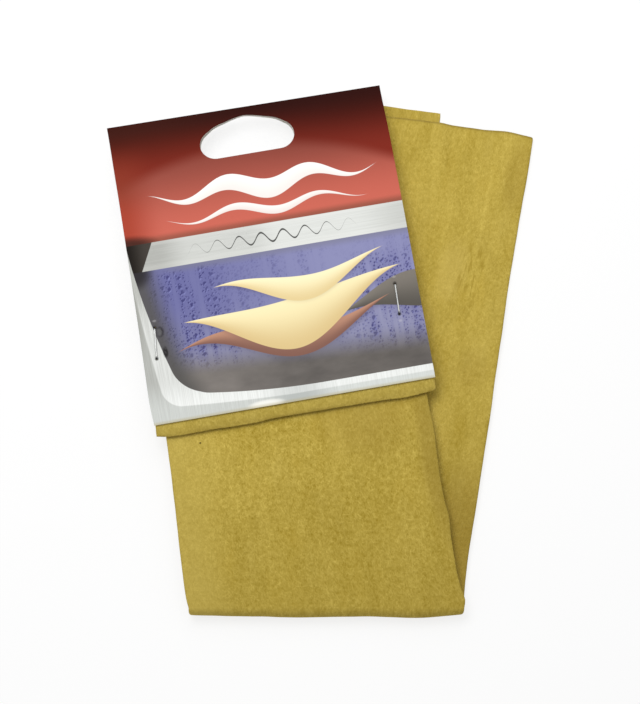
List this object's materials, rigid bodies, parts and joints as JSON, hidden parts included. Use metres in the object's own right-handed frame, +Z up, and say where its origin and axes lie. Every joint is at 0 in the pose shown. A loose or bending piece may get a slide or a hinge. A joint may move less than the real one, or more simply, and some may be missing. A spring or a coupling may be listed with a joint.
{
  "type": "chamois leather",
  "caption": "Natural chamois skin for washing and drying, folded flat and stapled into a printed folding header card with a hang slot.",
  "frame": {"origin": "under the middle of the whole bundle, on the surface that it lies on", "axes": "+Z up from the surface, +Y from the bottom fold towards the card's hang slot, +X to the right of the card as it is read"},
  "size_m": [0.1722, 0.2136, 0.0136],
  "materials": {
    "chamois": "napped suede, matt",
    "card": "printed and varnished, satin",
    "staple": "bright zinc-coated wire"
  },
  "bodies": {
    "tail": {"skin_tail": "chamois", "skin_bottom_fold": "chamois"},
    "packet": {"skin_front": "chamois", "header_card": "card", "staple_left": "staple", "staple_right": "staple"}
  },
  "joints": [
    {"name": "unfold", "type": "hinge", "parent": "tail", "child": "packet", "pos_m": [0.00174, -0.10291, 0.0039], "axis": [1, 0, 0], "range_deg": [0, 175], "deforming": ["skin_bottom_fold"]}
  ]
}
